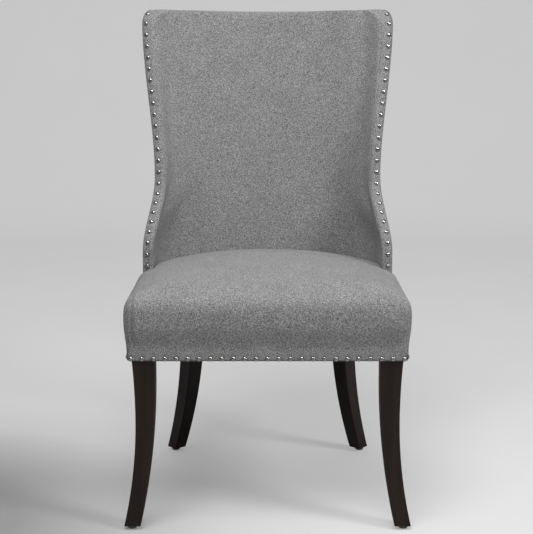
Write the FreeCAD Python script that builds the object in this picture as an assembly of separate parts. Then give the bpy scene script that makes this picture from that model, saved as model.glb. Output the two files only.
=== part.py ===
import FreeCAD, Part
import math
import os

os.makedirs("parts", exist_ok=True)
V = FreeCAD.Vector

# Sizes in millimetres and degrees.
# x runs to the right, y from the front rail to the rear, z up from the floor.

# Seat frame
seat_bottom = 338.0
frame_half = 266.0
frame_depth = 522.0
frame_taper = 0.9
rail_height = 66.0
rail_thick = 22.0
side_rail = 30.0
post_width = 52.0
post_depth = 46.0
block_leg = 62.0
brace_thick = 24.0

# Layers and the clearance between them
fit = 0.3
cover = 1.6
back_wadding = 2.5
seat_wrap = 6.0
shell = 9.0
webbing = 2.0
dust_sheet = 0.8
hem_width = 26.0
strap_width = 50.0
strap_pitch = 90.0
strap_hold = 14.0
strap_count = 4
dust_margin = 10.0

# Seat crown
crown_height = 495.0
shoulder_height = 412.0
shoulder_half = 274.0
seat_bulge = 9.0
crown_power = 2.6
crown_middle = 250.0
front_corner = 8.0
shoulder_corner = 24.0
rear_corner = 160.0
crown_round = 0.92
rear_draw = 2.2
nail_strip = 15.0

# Back and wings
top_height = 996.0
top_dip = 6.0
back_thick = 60.0
wing_thick = 22.0
back_rake = 8.5
back_bend = 160.0
wing_front = 307.0
wing_rake = 13.0
flare_height = 495.0
waist_height = 640.0
waist_setback = 100.0
waist_half = 243.0
crest_half = 276.0
crest_height = 985.0
crest_radius = 45.0
crest_heading = 68.0
edge_turn = 16.0
low_sweep = 2.5
crest_sweep = 20.0
low_corner = 42.0
high_corner = 72.0
low_inner_corner = 98.0
high_inner_corner = 100.0

# Front legs
leg_inner = 214.6
leg_top_width = 44.2
leg_foot_width = 32.0
leg_flare = 33.9
leg_waist = 253.4
leg_waist_height = 224.0
leg_bend_height = 300.0
leg_setback = 2.0
leg_foot_depth = 34.0
leg_edge = 2.5

# Rear legs
rear_leg_x = 167.0
rear_leg_y = 468.0
rear_leg_turn = 42.0
rear_leg_flare = 66.0
rear_leg_bend = 320.0
rear_leg_top = 40.5
rear_leg_foot = 30.0

# Foot glides
glide_height = 8.0
glide_radius = 9.0
glide_pin = 1.3
glide_pin_length = 22.0

# Domed nails
nail_radius = 4.5
nail_dome = 2.8
nail_shank = 0.8
nail_length = 12.0
seat_nail_count = 25
seat_nail_inset = 6.0
seat_nail_height = 5.2
wing_nail_count = 24
wing_nail_start = 466.0
nail_end = 52.0

# Joinery
dowel_radius = 5.0
dowel_length = 40.0
screw_radius = 2.3
screw_length = 45.0
shell_screw_length = 26.0
bolt_radius = 4.0
bolt_bite = 28.0
bolt_tail = 10.0
washer_radius = 10.0
washer_thick = 1.6
nut_across = 13.0
nut_thick = 6.5
shell_screw_steps = (45.0, 130.0)
rear_screw_x = 110.0

# Run of the back's lofts beyond the finished edge
wing_reach = 34.0
over_top = 6.0

# Worked out from the sizes above
rail_bottom = seat_bottom + cover + fit
rail_top = rail_bottom + rail_height
foam_bottom = rail_top + 2 * webbing + fit
form_start = foam_bottom + 2.0
shell_out = cover + fit + back_wadding + fit
shell_in = shell_out + shell
rail_stack = shell_in + fit
post_in = frame_half - post_width
rear_rail_front = frame_depth - rail_thick
rear_low = frame_depth + rail_stack
joint_heights = [rail_bottom + share * rail_height for share in (0.32, 0.7)]


def rad(angle):
    return math.radians(angle)


def ease(u):
    u = min(1.0, max(0.0, u))
    return u * u * (3.0 - 2.0 * u)


def blend(a, b, u):
    return a + (b - a) * u


def levels(low, high, steps):
    return [low + (high - low) * i / steps for i in range(steps + 1)]


def mirrored(shape):
    return shape.mirror(V(0, 0, 0), V(1, 0, 0))


def rail_x(y):
    """Outer face of the right side rail."""
    return frame_half - y * math.tan(rad(frame_taper))


def rail_inner_x(y):
    """Inner face of the right side rail."""
    return rail_x(y) - side_rail / math.cos(rad(frame_taper))


low_half = rail_x(wing_front) + cover + fit


# Outlines and simple solids
def segment(a, b):
    return Part.makeLine(a, b)


def bow(a, b, c):
    return Part.Arc(a, b, c).toShape()


def polygon(points, low, high):
    """Upright prism over a plan polygon."""
    corners = [V(x, y, low) for x, y in points]
    face = Part.Face(Part.makePolygon(corners + corners[:1]))
    return face.extrude(V(0, 0, high - low))


def box(x0, x1, y0, y1, z0, z1):
    return Part.makeBox(x1 - x0, y1 - y0, z1 - z0, V(x0, y0, z0))


def rounded(points, radii, z):
    """Closed wire of lines and tangent arcs round a convex plan outline."""
    corners = []
    for i, (x, y) in enumerate(points):
        here = V(x, y, z)
        back = (V(points[i - 1][0], points[i - 1][1], z) - here).normalize()
        nxt = points[(i + 1) % len(points)]
        ahead = (V(nxt[0], nxt[1], z) - here).normalize()
        half = math.acos(back.dot(ahead)) / 2
        cut = radii[i] / math.tan(half)
        lift = radii[i] / math.sin(half) - radii[i]
        middle = here + (back + ahead).normalize() * lift
        corners.append((here + back * cut, middle, here + ahead * cut))
    edges = []
    for i, (start, middle, end) in enumerate(corners):
        edges.append(bow(start, middle, end))
        edges.append(segment(end, corners[(i + 1) % len(corners)][0]))
    return Part.Wire(edges)


def placed(shape, base, axis):
    """Stand a shape made along z on a point, along an axis."""
    moved = shape.copy()
    moved.Placement = FreeCAD.Placement(base, FreeCAD.Rotation(V(0, 0, 1), axis))
    return moved


def rod(base, axis, radius, low, high):
    return placed(Part.makeCylinder(radius, high - low, V(0, 0, low)), base, axis)


def turned(profile):
    """Solid of revolution about z from (radius, height) points."""
    points = [V(r, 0, h) for r, h in profile]
    face = Part.Face(Part.makePolygon(points + points[:1]))
    return face.revolve(V(0, 0, 0), V(0, 0, 1), 360)


# Plan of the back and wings
def edge_y(z):
    """Front edge of the wing."""
    line = wing_front + waist_setback + (z - waist_height) * math.tan(rad(wing_rake))
    return blend(wing_front, line, ease((z - flare_height) / (waist_height - flare_height)))


def rear_y(z):
    """Rear face of the back on the centre line."""
    rise = max(0.0, z - form_start)
    run = rise * rise / (2 * back_bend) if rise < back_bend else rise - back_bend / 2
    return rear_low + run * math.tan(rad(back_rake))


def form(z):
    return ease((z - form_start) / (crest_height - form_start))


def corner_form(z):
    return ease((z - form_start) / (waist_height - form_start))


def half_plan(z, edge_depth, middle_depth, corner, reach):
    """Right half of a plan curve: back arc, corner arc and straight wing, by their end points."""
    flare = ease((z - flare_height) / (waist_height - flare_height))
    crest = ease((z - waist_height) / (crest_height - waist_height))
    half = blend(low_half, waist_half, flare) + (crest_half - waist_half) * crest
    head = rad(blend(90.0 - frame_taper, crest_heading, form(z)))
    sweep = rad(blend(low_sweep, crest_sweep, form(z)))
    end_x = half - edge_depth * math.sin(head)
    end_y = edge_y(z) - edge_depth * math.cos(head)
    top = rear_y(z) - middle_depth
    # Back radius and wing length that reach the wing edge
    across = end_x - corner * (math.sin(head) - math.sin(sweep))
    along = top - end_y - corner * (math.cos(sweep) - math.cos(head))
    sag = 1 - math.cos(sweep)
    scale = math.sin(sweep) * math.sin(head) - math.cos(head) * sag
    radius = (across * math.sin(head) - math.cos(head) * along) / scale
    run = (math.sin(sweep) * along - sag * across) / scale + reach
    bend = (radius * math.sin(sweep), top - radius * sag)
    centre = (bend[0] - corner * math.sin(sweep), bend[1] - corner * math.cos(sweep))
    middle = (sweep + head) / 2
    knee = (centre[0] + corner * math.sin(middle), centre[1] + corner * math.cos(middle))
    root = (centre[0] + corner * math.sin(head), centre[1] + corner * math.cos(head))
    tip = (root[0] + run * math.cos(head), root[1] - run * math.sin(head))
    return [(0.0, top), bend, knee, root, tip]


def from_outside(z, depth, reach):
    corner = blend(low_corner, high_corner, corner_form(z)) - depth
    return half_plan(z, depth, depth, corner, reach)


def from_inside(z, depth, reach):
    corner = blend(low_inner_corner, high_inner_corner, corner_form(z)) + depth
    return half_plan(z, wing_thick - depth, back_thick - depth, corner, reach)


def plan_edges(path, z, rightward):
    """Full plan curve from wing to wing."""
    right = [V(x, y, z) for x, y in path]
    left = [V(-x, y, z) for x, y in path]
    first, last = (left, right) if rightward else (right, left)
    return [
        segment(first[4], first[3]),
        bow(first[3], first[2], first[1]),
        bow(first[1], first[0], last[1]),
        bow(last[1], last[2], last[3]),
        segment(last[3], last[4]),
    ]


def layer_wire(z, outer, inner):
    edges = plan_edges(outer, z, True)
    edges.append(segment(V(outer[4][0], outer[4][1], z), V(inner[4][0], inner[4][1], z)))
    edges += plan_edges(inner, z, False)
    edges.append(segment(V(-inner[4][0], inner[4][1], z), V(-outer[4][0], outer[4][1], z)))
    return Part.Wire(edges)


def room_wire(z, path):
    edges = plan_edges(path, z, True)
    edges.append(segment(V(path[4][0], path[4][1], z), V(-path[4][0], path[4][1], z)))
    return Part.Wire(edges)


def back_layer(low, outer_rule, outer_depth, inner_rule, inner_depth):
    """Loft between two of the back's surfaces, longer than the finished wing."""
    wires = []
    for z in levels(low, top_height + over_top, 17):
        outer = outer_rule(z, outer_depth, wing_reach)
        inner = inner_rule(z, inner_depth, wing_reach)
        wires.append(layer_wire(z, outer, inner))
    return Part.makeLoft(wires, True, False)


# Sawn wing edge
def edge_point(z, inset):
    step = 0.5
    slope = (edge_y(z + step) - edge_y(z - step)) / (2 * step)
    size = math.hypot(1.0, slope)
    return edge_y(z) + inset / size, z - inset * slope / size


lean = rad(wing_rake)
crest_y = edge_y(top_height)
crest_run = crest_radius * math.tan((math.pi / 2 - lean) / 2)
crest_start = (crest_y - crest_run * math.sin(lean), top_height - crest_run * math.cos(lean))
crest_end = (crest_y + crest_run, top_height)
crest_centre = (crest_end[0], top_height - crest_radius)


def crest_point(angle, inset):
    """Point on the rounded top corner; angle runs from the wing edge to the top."""
    r = crest_radius - inset
    return crest_centre[0] - r * math.cos(angle), crest_centre[1] + r * math.sin(angle)


turn = math.tan(rad(edge_turn))


def profile_vector(point):
    return V(0, point[0] - waist_half * turn, point[1])


def edge_prism(inset):
    """Everything behind the wing edge, set back by an inset."""
    low = profile_vector((wing_front + inset, seat_bottom - 40))
    bends = [profile_vector(edge_point(z, inset)) for z in levels(flare_height, waist_height, 8)]
    curve = Part.BSplineCurve()
    curve.interpolate(
        Points=bends,
        InitialTangent=V(0, 0, 1),
        FinalTangent=V(0, math.sin(lean), math.cos(lean)),
    )
    arc = [profile_vector(crest_point(a, inset)) for a in (lean, (lean + math.pi / 2) / 2, math.pi / 2)]
    lid = profile_vector((crest_end[0], top_height + 60))
    far_top = profile_vector((frame_depth + 400, top_height + 60))
    far_low = profile_vector((frame_depth + 400, seat_bottom - 40))
    edges = [
        segment(low, bends[0]),
        curve.toShape(),
        segment(bends[-1], arc[0]),
        bow(*arc),
        segment(arc[2], lid),
        segment(lid, far_top),
        segment(far_top, far_low),
        segment(far_low, low),
    ]
    width = crest_half + 120
    right = Part.Face(Part.Wire(edges)).extrude(V(width, width * turn, 0))
    return right.fuse(mirrored(right)).removeSplitter()


def above_top(drop):
    """Everything above the dipped top line, lowered by a drop."""
    width = crest_half + 120
    rim = top_height - drop
    left = V(-crest_half, 0, rim)
    right = V(crest_half, 0, rim)
    edges = [
        bow(left, V(0, 0, rim - top_dip), right),
        segment(right, V(width, 0, rim)),
        segment(V(width, 0, rim), V(width, 0, top_height + 80)),
        segment(V(width, 0, top_height + 80), V(-width, 0, top_height + 80)),
        segment(V(-width, 0, top_height + 80), V(-width, 0, rim)),
        segment(V(-width, 0, rim), left),
    ]
    return Part.Face(Part.Wire(edges)).extrude(V(0, frame_depth + 400, 0))


# Seat form
def seat_wire(z, inset, scale):
    """Plan outline of the seat: tapered with the frame below, square and fuller at the shoulder."""
    grow = ease((z - seat_bottom - nail_strip) / (shoulder_height - seat_bottom - nail_strip))
    skin = cover + fit - inset
    depth = (crown_middle + skin + seat_bulge * grow) * scale
    front_half = blend(rail_x(0) + skin, shoulder_half - inset, grow) * scale
    rear_half = blend(rail_x(2 * crown_middle) + skin, shoulder_half - inset, grow) * scale
    rear_half = rear_half / (1 + rear_draw * (1 - scale))
    front = crown_middle - depth
    rear = crown_middle + depth
    hem_corner = front_corner * (1 - inset / 40)
    front_round = blend(hem_corner, shoulder_corner - inset / 2, grow) * scale
    rear_round = blend(hem_corner, rear_corner - inset, grow) * scale
    drawn = 1 - scale ** 2
    front_round = blend(front_round, crown_round * min(front_half, depth), drawn ** 2)
    rear_round = blend(rear_round, crown_round * min(rear_half, depth), drawn ** 0.5)
    points = [(-front_half, front), (front_half, front), (rear_half, rear), (-rear_half, rear)]
    return rounded(points, [front_round, front_round, rear_round, rear_round], z)


def crown_share(rise):
    """Share of the plan left at a share of the crown's rise: an upright edge turning into an arch."""
    edge = (1 - rise ** 6) ** (1 / 6)
    arch = (1 - rise ** 2) ** 0.5
    return blend(edge, arch, rise ** crown_power)


def crown_steps(rise, steps):
    """Evenly spaced points over the crown as shares of its height and its plan."""
    points = []
    for share in levels(0.0, 1.0, 600)[:592]:
        points.append((share, crown_share(share)))
    lengths = [0.0]
    for a, b in zip(points, points[1:]):
        lengths.append(lengths[-1] + math.hypot((b[0] - a[0]) * rise, (b[1] - a[1]) * crown_middle))
    chosen = []
    for i in range(1, steps + 1):
        goal = lengths[-1] * i / steps
        chosen.append(min(zip(lengths, points), key=lambda pair: abs(pair[0] - goal))[1])
    return chosen


def seat_form(inset):
    """Crowned seat set in by an inset, running on below the seat."""
    wires = [seat_wire(z, inset, 1.0) for z in levels(seat_bottom - nail_strip, shoulder_height, 6)]
    rise = crown_height - inset - shoulder_height
    for height, plan in crown_steps(rise, 12):
        wires.append(seat_wire(shoulder_height + height * rise, inset, plan))
    return Part.makeLoft(wires, True, False, False, 3)


def below(z):
    """Everything under a height."""
    wide = 3 * frame_half
    return box(-wide, wide, -wide, wide, -wide, z)


# Room between the wings and inside the shell
def wing_zone(low, high):
    """Everything behind the front faces of the wings."""
    width = frame_half + 120
    rear = frame_depth + 200
    middle = wing_front - waist_half * turn - fit
    side = middle + width * turn
    return polygon([(-width, side), (0, middle), (width, side), (width, rear), (-width, rear)], low, high)


def seat_stop():
    """The wings and the inside back with all behind them, for the seat's height."""
    low = seat_bottom - 20
    high = crown_height + 20
    wires = []
    for z in levels(low, high, 6):
        wires.append(room_wire(z, from_inside(z, -fit, wing_front / 2)))
    return wing_zone(low, high).cut(Part.makeLoft(wires, True, False))


def frame_room(low, high):
    """Space inside the plywood shell round the seat frame."""
    path = from_outside(seat_bottom, rail_stack, wing_front + 60)
    return Part.Face(room_wire(low, path)).extrude(V(0, 0, high - low))


nodes = {}

# Seat rails, the side rails rebated for the shell
inside_shell = frame_room(seat_bottom - 10, foam_bottom - fit)
rebate = wing_zone(seat_bottom - 10, foam_bottom - fit).cut(inside_shell)
front_rail = box(-post_in, post_in, 0, rail_thick, rail_bottom, rail_top)
right_rail = polygon(
    [
        (rail_x(post_depth), post_depth),
        (rail_x(rear_rail_front), rear_rail_front),
        (rail_inner_x(rear_rail_front), rear_rail_front),
        (rail_inner_x(post_depth), post_depth),
    ],
    rail_bottom,
    rail_top,
).cut(rebate)
rear_rail = box(-frame_half, frame_half, rear_rail_front, frame_depth, rail_bottom, rail_top)
rear_rail = rear_rail.common(inside_shell)

# Front leg, straight post above and sabre leg below
leg_foot = glide_height
leg_top_out = leg_inner + leg_top_width


def front_leg_wire(z):
    inner_bend = max(0.0, leg_bend_height - z) / leg_bend_height
    inner = leg_inner + leg_flare * inner_bend ** 2
    if z > leg_waist_height:
        rise = (z - leg_waist_height) / (rail_bottom - leg_waist_height)
        outer = leg_waist + (leg_top_out - leg_waist) * rise ** 2
    else:
        fall = (leg_waist_height - z) / leg_waist_height
        outer = leg_waist + (leg_inner + leg_flare + leg_foot_width - leg_waist) * fall ** 2
    back = leg_setback + blend(leg_foot_depth, post_depth - leg_setback, z / rail_bottom)
    points = [(inner, leg_setback), (outer, leg_setback), (outer, back), (inner, back)]
    return rounded(points, [leg_edge] * 4, z)


post = polygon(
    [(post_in, 0), (rail_x(0), 0), (rail_x(post_depth), post_depth), (post_in, post_depth)],
    rail_bottom,
    rail_top,
)
sabre = Part.makeLoft([front_leg_wire(z) for z in levels(leg_foot, rail_bottom, 8)], True, False)
front_leg = post.fuse(sabre).removeSplitter()
front_foot = (leg_inner + leg_flare + leg_foot_width / 2, leg_setback + leg_foot_depth / 2)

# Rear leg, turned corner to the front
rear_turn = rad(rear_leg_turn)
rear_out = V(math.sin(rear_turn), math.cos(rear_turn), 0)
rear_side = V(math.cos(rear_turn), -math.sin(rear_turn), 0)


def rear_leg_centre(z):
    bend = max(0.0, rear_leg_bend - z) / rear_leg_bend
    return V(rear_leg_x, rear_leg_y, z) + rear_out * (rear_leg_flare * bend ** 2)


def rear_leg_wire(z):
    half = blend(rear_leg_foot, rear_leg_top, min(1.0, z / rail_bottom)) / 2
    centre = rear_leg_centre(z)
    points = []
    for a, b in ((-1, -1), (1, -1), (1, 1), (-1, 1)):
        corner = centre + rear_side * (a * half) + rear_out * (b * half)
        points.append((corner.x, corner.y))
    return rounded(points, [leg_edge] * 4, z)


rear_sabre = Part.makeLoft([rear_leg_wire(z) for z in levels(leg_foot, rail_bottom, 8)], True, False)
rear_block = Part.Face(rear_leg_wire(rail_bottom)).extrude(V(0, 0, rail_height - webbing))
rear_leg = rear_sabre.fuse(rear_block).removeSplitter()
rear_foot = rear_leg_centre(0)

# Corner blocks and braces
block_top = rail_top - 8
block_end = (rail_inner_x(post_depth + block_leg), post_depth + block_leg)
block_start = (post_in - block_leg, rail_thick)
front_block = polygon(
    [
        block_start,
        (post_in, rail_thick),
        (post_in, post_depth),
        (rail_inner_x(post_depth), post_depth),
        block_end,
    ],
    rail_bottom,
    block_top,
)


def brace_corner(gap, on_rear_rail):
    """Where a line in front of the rear leg meets the rear rail or the side rail."""
    line = rear_out.x * rear_leg_x + rear_out.y * rear_leg_y - gap
    if on_rear_rail:
        return (line - rear_out.y * rear_rail_front) / rear_out.x, rear_rail_front
    slope = math.tan(rad(frame_taper))
    y = (line - rear_out.x * rail_inner_x(0)) / (rear_out.y - rear_out.x * slope)
    return rail_inner_x(y), y


brace_near = rear_leg_top / 2
brace_far = brace_near + brace_thick
brace_points = [
    brace_corner(brace_near, True),
    brace_corner(brace_near, False),
    brace_corner(brace_far, False),
    brace_corner(brace_far, True),
]
rear_brace = polygon(brace_points, rail_bottom, block_top)

# Dowels in the rail joints
side_mid = (rail_x(post_depth) + rail_inner_x(post_depth)) / 2
rear_mid = rail_inner_x(rear_rail_front) + (side_rail - rail_stack + cover + fit) / 2 - 1.5
half_dowel = dowel_length / 2


def dowel_sites():
    for z in joint_heights:
        yield V(post_in, rail_thick / 2, z), V(1, 0, 0), -half_dowel, half_dowel - 4
        yield V(side_mid, post_depth, z), V(0, 1, 0), 4 - half_dowel, half_dowel
        yield V(rear_mid, rear_rail_front, z), V(0, 1, 0), -half_dowel, half_dowel / 3


dowels = [rod(base, axis, dowel_radius, low, high) for base, axis, low, high in dowel_sites()]
dowel_holes = [
    rod(base, axis, dowel_radius + fit / 2, low - 1, high + 1) for base, axis, low, high in dowel_sites()
]


# Screws
def screw(base, axis, length, slack):
    """Countersunk screw; the base is the head's face and the axis points out of it."""
    r = screw_radius + slack
    head = 2 * screw_radius + slack
    body = turned([(0, 0), (head, 0), (r, -screw_radius - 1), (r, 5 - length), (0, -length - slack)])
    return placed(body, base, axis)


def screw_hole(base, axis, length):
    well = rod(base, axis, 2 * screw_radius + fit, 0, 30)
    return screw(base, axis, length, fit / 2).fuse(well)


def block_screw_sites():
    for z in joint_heights:
        z = z - 6
        yield V(post_in - block_leg / 2, rail_thick - 15 + screw_length, z), V(0, 1, 0)
        y = post_depth + block_leg / 2
        yield V(rail_inner_x(y) + 15 - screw_length, y, z), V(-1, 0, 0)
    for z in joint_heights:
        z = z - 6
        for corner, step in ((brace_points[2], -20), (brace_points[3], 24)):
            face = V(corner[0], corner[1], z) + rear_side * step
            yield face + rear_out * 2, rear_out * -1


block_screws = [screw(base, axis, screw_length, 0) for base, axis in block_screw_sites()]
block_holes = [screw_hole(base, axis, screw_length) for base, axis in block_screw_sites()]

# Bolts of the rear leg
bolt_low = -bolt_tail - nut_thick + 2
bolt_sites = []
for z in joint_heights:
    bolt_sites.append(V(rear_leg_x, rear_leg_y, z) - rear_out * brace_far)
bolts = [rod(p, rear_out, bolt_radius, bolt_low, brace_thick + bolt_bite) for p in bolt_sites]
bolt_holes = [
    rod(p, rear_out, bolt_radius + fit / 2, bolt_low, brace_thick + bolt_bite + 1) for p in bolt_sites
]
washers = []
nuts = []
nut_corner = nut_across / 2 / math.cos(rad(30))
nut_points = [(nut_corner * math.cos(rad(60 * i)), nut_corner * math.sin(rad(60 * i))) for i in range(6)]
for p in bolt_sites:
    ring = rod(p, rear_out, washer_radius, -washer_thick, 0)
    washers.append(ring.cut(rod(p, rear_out, bolt_radius + fit, -washer_thick - 1, 1)))
    nut = placed(polygon(nut_points, -washer_thick - nut_thick, -washer_thick), p, rear_out)
    nuts.append(nut.cut(rod(p, rear_out, bolt_radius + fit / 3, -nut_thick - washer_thick - 1, 1)))

# Back shell, its padding and covers
full_back = back_layer(seat_bottom, from_outside, 0, from_inside, 0)
layer_edge = edge_prism(cover + fit)
under_cap = above_top(cover)
above_all = above_top(0)
layer_keep = layer_edge.cut(above_top(cover + fit))
wall_keep = layer_edge.cut(under_cap)
cap_keep = layer_edge.common(under_cap).cut(above_all)
band_keep = edge_prism(0).cut([edge_prism(cover), above_all, inside_shell])

back_shell = back_layer(rail_bottom, from_outside, shell_out, from_outside, shell_in)
back_shell = back_shell.common(layer_keep)
outer_pad = back_layer(rail_bottom, from_outside, cover + fit, from_outside, shell_out - fit)
outer_pad = outer_pad.common(layer_keep)
back_foam = back_layer(foam_bottom, from_outside, shell_in + fit, from_inside, cover + fit)
back_foam = back_foam.common(layer_keep)
outside_wall = back_layer(seat_bottom, from_outside, 0, from_outside, cover)
outside_wall = outside_wall.common(layer_keep)
hem_wire = layer_wire(
    seat_bottom,
    from_outside(seat_bottom, cover / 2, wing_reach),
    from_outside(seat_bottom, hem_width, wing_reach),
)
outside_hem = Part.Face(hem_wire).extrude(V(0, 0, cover)).common(layer_edge)
outside_cover = outside_wall.fuse(outside_hem).removeSplitter()
inside_wall = back_layer(foam_bottom, from_inside, cover, from_inside, 0)
inside_wall = inside_wall.common(wall_keep)
top_cap = full_back.common(cap_keep)
inside_cover = inside_wall.fuse(top_cap).removeSplitter()
bands = full_back.common(band_keep)

# Seat layers
stop = seat_stop()
strip_top = seat_bottom + nail_strip
strip_out = Part.Face(seat_wire(seat_bottom, 0, 1.0)).extrude(V(0, 0, nail_strip))
strip_in = Part.Face(seat_wire(seat_bottom + cover, cover, 1.0)).extrude(V(0, 0, nail_strip))
under = rounded(
    [
        (-rail_x(0) + hem_width, hem_width),
        (rail_x(0) - hem_width, hem_width),
        (rail_x(frame_depth) - hem_width, frame_depth),
        (-rail_x(frame_depth) + hem_width, frame_depth),
    ],
    [front_corner] * 4,
    seat_bottom - 5,
)
under_opening = Part.Face(under).extrude(V(0, 0, 10))
leg_gap = box(
    leg_inner - 1, leg_inner + leg_top_width + 1, 0, post_depth + 1, seat_bottom - 5, seat_bottom + 5
)
seat_strip = strip_out.cut([strip_in, under_opening, leg_gap, mirrored(leg_gap), stop])
seat_skin = seat_form(0).cut([seat_form(cover), below(strip_top), stop])
wrap_low = seat_bottom + nail_strip + 2
frame_block = polygon(
    [
        (-rail_x(0) - fit, -fit),
        (rail_x(0) + fit, -fit),
        (rail_x(frame_depth) + fit, frame_depth),
        (-rail_x(frame_depth) - fit, frame_depth),
    ],
    seat_bottom,
    foam_bottom,
)
wrap_in = cover + fit + seat_wrap
seat_wadding = seat_form(cover + fit)
seat_wadding = seat_wadding.cut([seat_form(wrap_in), frame_block, below(wrap_low), stop])
seat_foam = seat_form(wrap_in + fit).cut([below(foam_bottom), stop])


# Webbing straps
def strap_sides(i, middle):
    """Both sides of one strap in a row spread about a middle."""
    centre = middle + (i - (strap_count - 1) / 2) * strap_pitch
    return centre - strap_width / 2, centre + strap_width / 2


strap_front = rail_thick - strap_hold
strap_rear = rear_rail_front + strap_hold
strap_middle = rail_top + webbing
long_straps = []
cross_straps = []
for i in range(strap_count):
    left, right = strap_sides(i, 0)
    long_straps.append(box(left, right, strap_front, strap_rear, rail_top, strap_middle))
    front, rear = strap_sides(i, crown_middle)
    half = rail_inner_x(rear) + strap_hold
    cross_straps.append(box(-half, half, front, rear, strap_middle, strap_middle + webbing))

# Dust cover under the seat
sheet_front = rail_x(0) - dust_margin
sheet_rear = rail_x(frame_depth) - dust_margin
sheet = rounded(
    [
        (-sheet_front, dust_margin),
        (sheet_front, dust_margin),
        (sheet_rear, frame_depth - dust_margin),
        (-sheet_rear, frame_depth - dust_margin),
    ],
    [front_corner, front_corner, low_corner, low_corner],
    seat_bottom - dust_sheet,
)
dust_cover = Part.Face(sheet).extrude(V(0, 0, dust_sheet))
gap_half = rear_leg_top / 2 + 1
rear_gap = box(-gap_half, gap_half, -gap_half, gap_half, -5, 5)
rear_gap.rotate(V(0, 0, 0), V(0, 0, 1), -rear_leg_turn)
rear_gap.translate(rear_leg_centre(seat_bottom))
dust_cover = dust_cover.cut([leg_gap, mirrored(leg_gap), rear_gap, mirrored(rear_gap)])

# Glides and their pins
pad = turned(
    [
        (glide_pin + 0.15, glide_height),
        (glide_radius, glide_height),
        (glide_radius, 1.4),
        (glide_radius - 1.4, 0),
        (3.6, 0),
        (3.6, 1.8),
        (glide_pin + 0.15, 1.8),
    ]
)
pin = turned(
    [
        (0, 0.5),
        (3.2, 0.5),
        (3.2, 1.8),
        (glide_pin, 1.8),
        (glide_pin, glide_pin_length - 3),
        (0, glide_pin_length),
    ]
)
feet = [front_foot, (rear_foot.x, rear_foot.y)]
glides = []
pins = []
for x, y in feet:
    for side in (-1, 1):
        glides.append(placed(pad, V(side * x, y, 0), V(0, 0, 1)))
        pins.append(placed(pin, V(side * x, y, 0), V(0, 0, 1)))
pin_holes = [rod(V(x, y, 0), V(0, 0, 1), glide_pin + fit / 2, 0, glide_pin_length + 1) for x, y in feet]

# Domed nails
nail = turned(
    [
        (0, nail_dome),
        (0.55 * nail_radius, 0.84 * nail_dome),
        (0.88 * nail_radius, 0.45 * nail_dome),
        (nail_radius, 0),
        (nail_shank, 0),
        (nail_shank, 2 - nail_length),
        (0, -nail_length),
    ]
)


def nail_hole(base, axis):
    return rod(base, axis, nail_shank + fit / 2, -nail_length - 1, 1)


# Nails along the front and sides of the seat
seat_face = cover + fit
nail_z = seat_bottom + seat_nail_height
front_span = frame_half - seat_nail_inset
nail_pitch = 2 * front_span / (seat_nail_count - 1)
front_sites = []
for i in range(seat_nail_count):
    front_sites.append((V(-front_span + i * nail_pitch, -seat_face, nail_z), V(0, -1, 0)))
side_out = V(math.cos(rad(frame_taper)), math.sin(rad(frame_taper)), 0)
side_start = seat_nail_inset + nail_pitch / 2
side_count = int((wing_front - 2 * nail_radius - side_start) / nail_pitch) + 1
side_sites = []
for i in range(side_count):
    y = side_start + i * nail_pitch
    side_sites.append((V(rail_x(y), y, nail_z) + side_out * seat_face, side_out))
left_sites = [(V(-p.x, p.y, p.z), V(-n.x, n.y, n.z)) for p, n in side_sites]
seat_sites = front_sites + side_sites + left_sites
seat_nails = [placed(nail, p, n) for p, n in seat_sites]
front_holes = [nail_hole(p, n) for p, n in front_sites]
side_holes = [nail_hole(p, n) for p, n in side_sites]
seat_holes = front_holes + side_holes + [mirrored(h) for h in side_holes]


# Nails up the wing edge, evenly spaced along it
def wing_path():
    path = [edge_point(z, 0) for z in levels(wing_nail_start, crest_start[1], 120)]
    path += [crest_point(a, 0) for a in levels(lean, rad(nail_end), 24)[1:]]
    return path


def wing_sites():
    path = wing_path()
    lengths = [0.0]
    for a, b in zip(path, path[1:]):
        lengths.append(lengths[-1] + math.dist(a, b))
    sites = []
    for i in range(wing_nail_count):
        goal = lengths[-1] * i / (wing_nail_count - 1)
        k = max(1, min(len(path) - 1, sum(1 for s in lengths if s < goal)))
        share = (goal - lengths[k - 1]) / (lengths[k] - lengths[k - 1])
        y = blend(path[k - 1][0], path[k][0], share)
        z = blend(path[k - 1][1], path[k][1], share)
        along = V(0, path[k][0] - path[k - 1][0], path[k][1] - path[k - 1][1]).normalize()
        outer = from_outside(z, shell_out + 0.6 * shell, wing_reach)
        root, tip = outer[3], outer[4]
        # Where the wing's middle crosses the turned edge face
        slope = (tip[0] - root[0]) / (tip[1] - root[1])
        x = (root[0] + slope * (y - waist_half * turn - root[1])) / (1 - slope * turn)
        face = V(1, turn, 0).cross(along).normalize()
        if face.y > 0:
            face = face * -1
        if abs(face.y) < 0.5 and face.z < 0:
            face = face * -1
        sites.append((V(x, y + (x - waist_half) * turn, z) + face * fit, face))
    return sites


right_sites = wing_sites()
right_nails = [placed(nail, p, n) for p, n in right_sites]
right_holes = [nail_hole(p, n) for p, n in right_sites]
wing_holes = right_holes + [mirrored(h) for h in right_holes]

# Screws that hold the shell to the rails
shell_screw_z = (joint_heights[0] + joint_heights[1]) / 2
shell_sites = []
for step in shell_screw_steps:
    y = wing_front + step
    shell_sites.append((V(rail_x(y), y, shell_screw_z) + side_out * (cover + fit - shell_out), side_out))
back_path = from_outside(seat_bottom, shell_out, 0)
rear_drop = rear_screw_x ** 2 * (back_path[0][1] - back_path[1][1]) / back_path[1][0] ** 2
shell_sites.append((V(rear_screw_x, back_path[0][1] - rear_drop, shell_screw_z), V(0, 1, 0)))
shell_screws = [screw(p, n, shell_screw_length, 0) for p, n in shell_sites]
shell_holes = [screw_hole(p, n, shell_screw_length) for p, n in shell_sites]


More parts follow.
